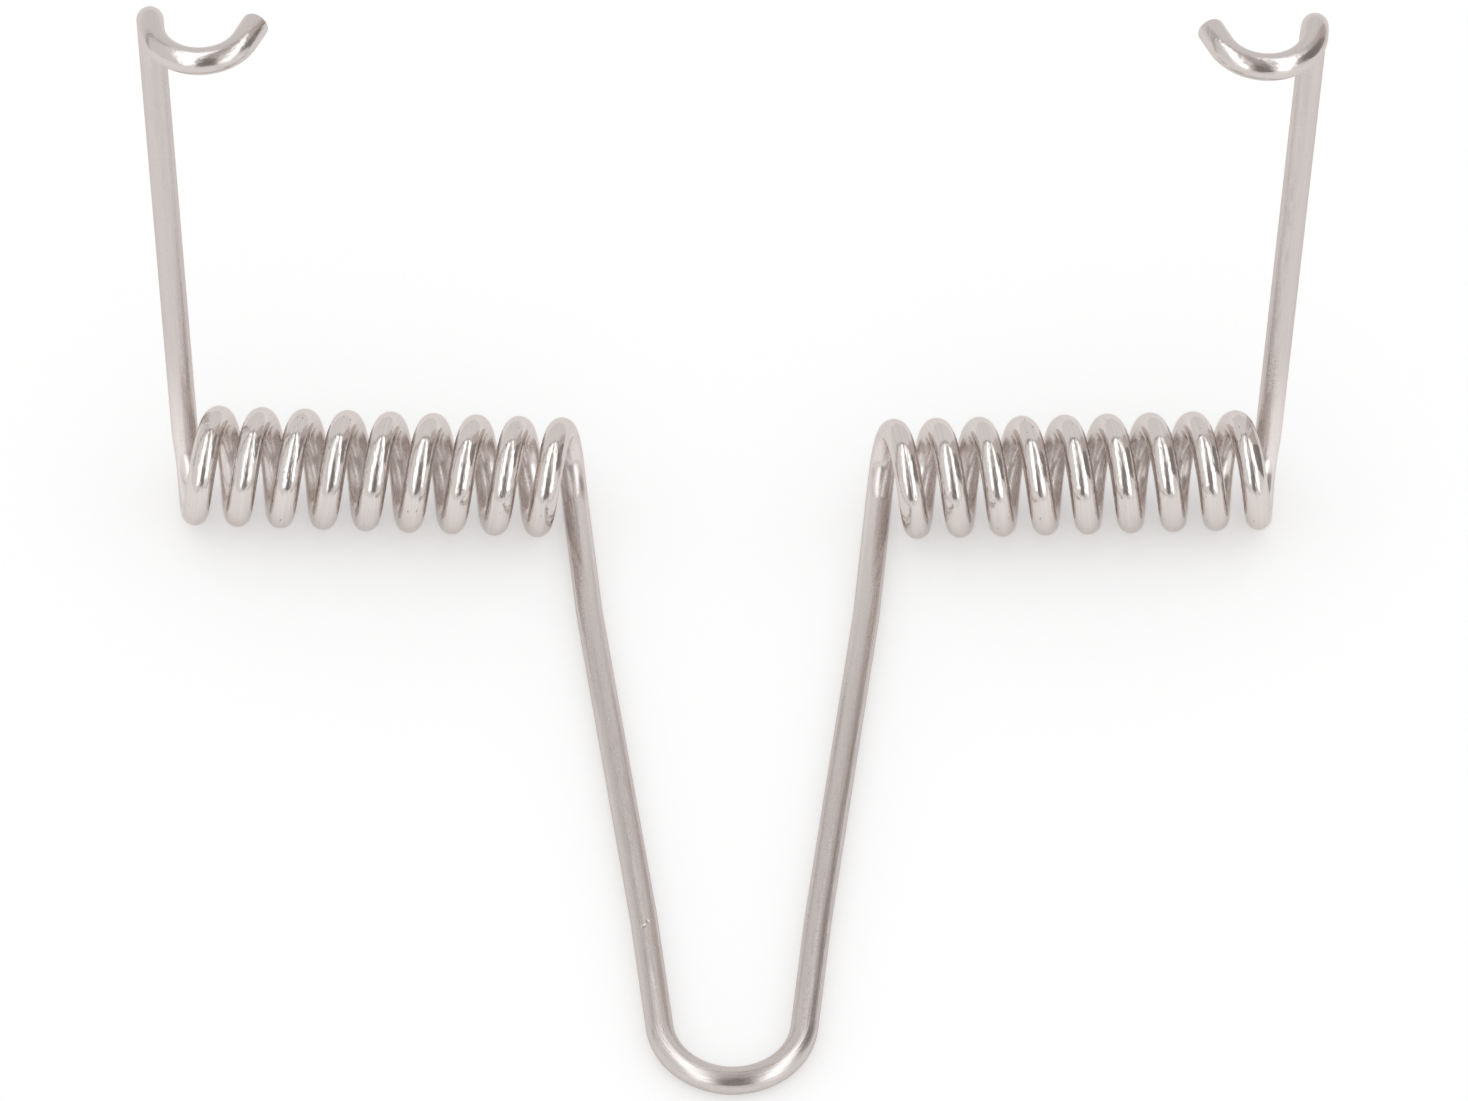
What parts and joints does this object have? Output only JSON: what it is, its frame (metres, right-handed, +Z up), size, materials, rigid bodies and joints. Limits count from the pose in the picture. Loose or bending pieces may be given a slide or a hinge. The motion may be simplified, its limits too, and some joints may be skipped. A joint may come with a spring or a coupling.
{
  "type": "double torsion spring",
  "caption": "Double torsion spring of round steel wire, with mirrored coils, a U-shaped bow between them and arms that end in open hooks.",
  "frame": {"origin": "on the surface that the spring rests on, below the middle of its box, in its plane of symmetry", "axes": "+X along the coils to the right, +Y from the bow towards the arms, +Z up; the bow lies flat towards -Y"},
  "size_m": [0.1742, 0.1418, 0.0786],
  "materials": {
    "spring_steel": "drawn stainless spring wire, satin to semi-bright"
  },
  "bodies": {
    "root": {"spring_wire": "spring_steel"}
  },
  "joints": []
}
